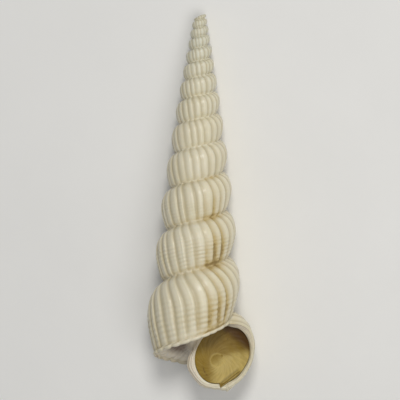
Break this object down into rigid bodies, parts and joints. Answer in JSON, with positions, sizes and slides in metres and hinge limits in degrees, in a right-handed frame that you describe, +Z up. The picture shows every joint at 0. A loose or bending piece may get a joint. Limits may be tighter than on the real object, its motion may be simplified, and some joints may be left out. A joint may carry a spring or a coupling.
{
  "type": "wentletrap shell",
  "caption": "Slender ribbed spiral sea shell lying on its side, round mouth up and shut by a thin horny lid.",
  "frame": {"origin": "centre of the underside of the bounding box, on the surface the shell lies on", "axes": "+Y along the shell towards its tip, +Z up, +X towards the side that the mouth is on"},
  "size_m": [0.0142, 0.0496, 0.0123],
  "materials": {
    "shell": "satin",
    "operculum": "satin"
  },
  "bodies": {
    "root": {"shell": "shell", "operculum": "operculum"}
  },
  "joints": []
}
